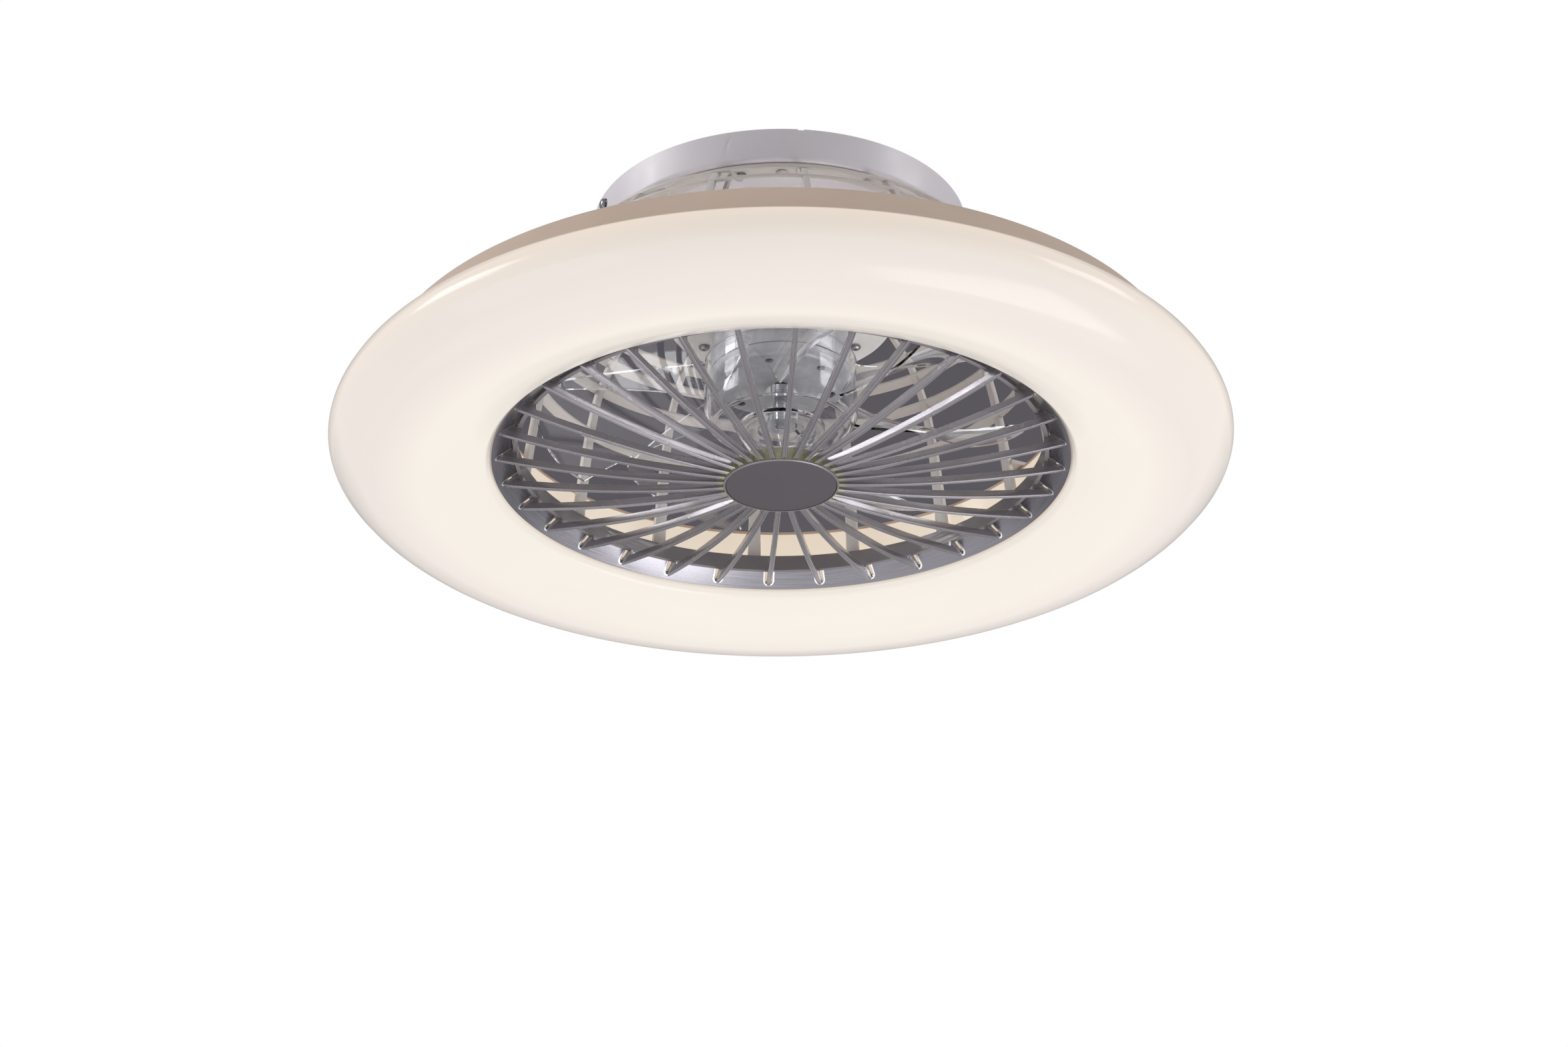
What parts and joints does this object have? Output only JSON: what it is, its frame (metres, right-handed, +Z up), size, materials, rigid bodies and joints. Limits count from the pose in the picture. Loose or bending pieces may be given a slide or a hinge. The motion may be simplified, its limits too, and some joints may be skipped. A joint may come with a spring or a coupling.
{
  "type": "ceiling fan with ring light",
  "caption": "Flush ceiling fan: a clear impeller turns in a ribbed cage above a radial grille, inside a thick glowing ring light, all hung from a round canopy.",
  "frame": {"origin": "centre of the bracket's flat face that meets the ceiling", "axes": "+Z up into the ceiling along the axis the impeller turns about; the fan hangs at negative Z; the camera of the picture stands on the -Y side"},
  "size_m": [0.6, 0.6, 0.203],
  "materials": {
    "zinc_sheet": "galvanised sheet",
    "canopy_paint": "satin white",
    "driver_white": "matte",
    "black_plastic": "matte",
    "housing_white": "satin white",
    "board_green": "solder mask",
    "motor_metal": "turned metal",
    "screw_steel": "bright steel",
    "lamination": "stacked sheets",
    "copper": "enamelled wire",
    "magnet": "sintered, dull",
    "clear_plastic": "clear, polished",
    "cage_grey": "satin",
    "pan_beige": "satin",
    "rubber_black": "matte",
    "cable_grey": "matte",
    "opal": "opal, glossy",
    "grille_grey": "metallic paint",
    "dark_grey": "satin metallic",
    "brushed_trim": "brushed",
    "board_white": "white solder mask"
  },
  "bodies": {
    "fixture": {"cage": "cage_grey", "cage_screw_1": "screw_steel", "cage_screw_2": "screw_steel", "cage_screw_3": "screw_steel", "canopy_screw_1": "screw_steel", "canopy_screw_2": "screw_steel", "canopy_shell": "canopy_paint", "ceiling_bracket": "zinc_sheet", "control_board": "board_green", "diffuser": "opal", "grille": "grille_grey", "grille_cap": "dark_grey", "housing_bolt_1": "screw_steel", "housing_bolt_2": "screw_steel", "housing_bolt_3": "screw_steel", "lamp_pan": "pan_beige", "lamp_screw_1": "screw_steel", "lamp_screw_2": "screw_steel", "lamp_screw_3": "screw_steel", "lamp_screw_4": "screw_steel", "led_board_1": "board_white", "led_board_2": "board_white", "led_board_3": "board_white", "led_board_4": "board_white", "led_driver": "driver_white", "light_lead": "cable_grey", "lower_bearing": "screw_steel", "motor_bolt_1": "screw_steel", "motor_bolt_2": "screw_steel", "motor_bolt_3": "screw_steel", "motor_can": "motor_metal", "motor_cover": "motor_metal", "motor_housing": "housing_white", "mount_plate": "zinc_sheet", "pan_grommet": "rubber_black", "receiver_box": "black_plastic", "stator_core": "lamination", "stator_windings": "copper", "terminal_block": "driver_white", "trim_ring": "brushed_trim", "upper_bearing": "screw_steel"},
    "rotor": {"motor_shaft": "screw_steel", "rotor_core": "lamination", "rotor_magnet": "magnet", "impeller": "clear_plastic", "impeller_cap": "clear_plastic"}
  },
  "joints": [
    {"name": "impeller_spin", "type": "hinge", "parent": "fixture", "child": "rotor", "pos_m": [0, 0, -0.13], "axis": [0, 0, 1], "continuous": true}
  ]
}
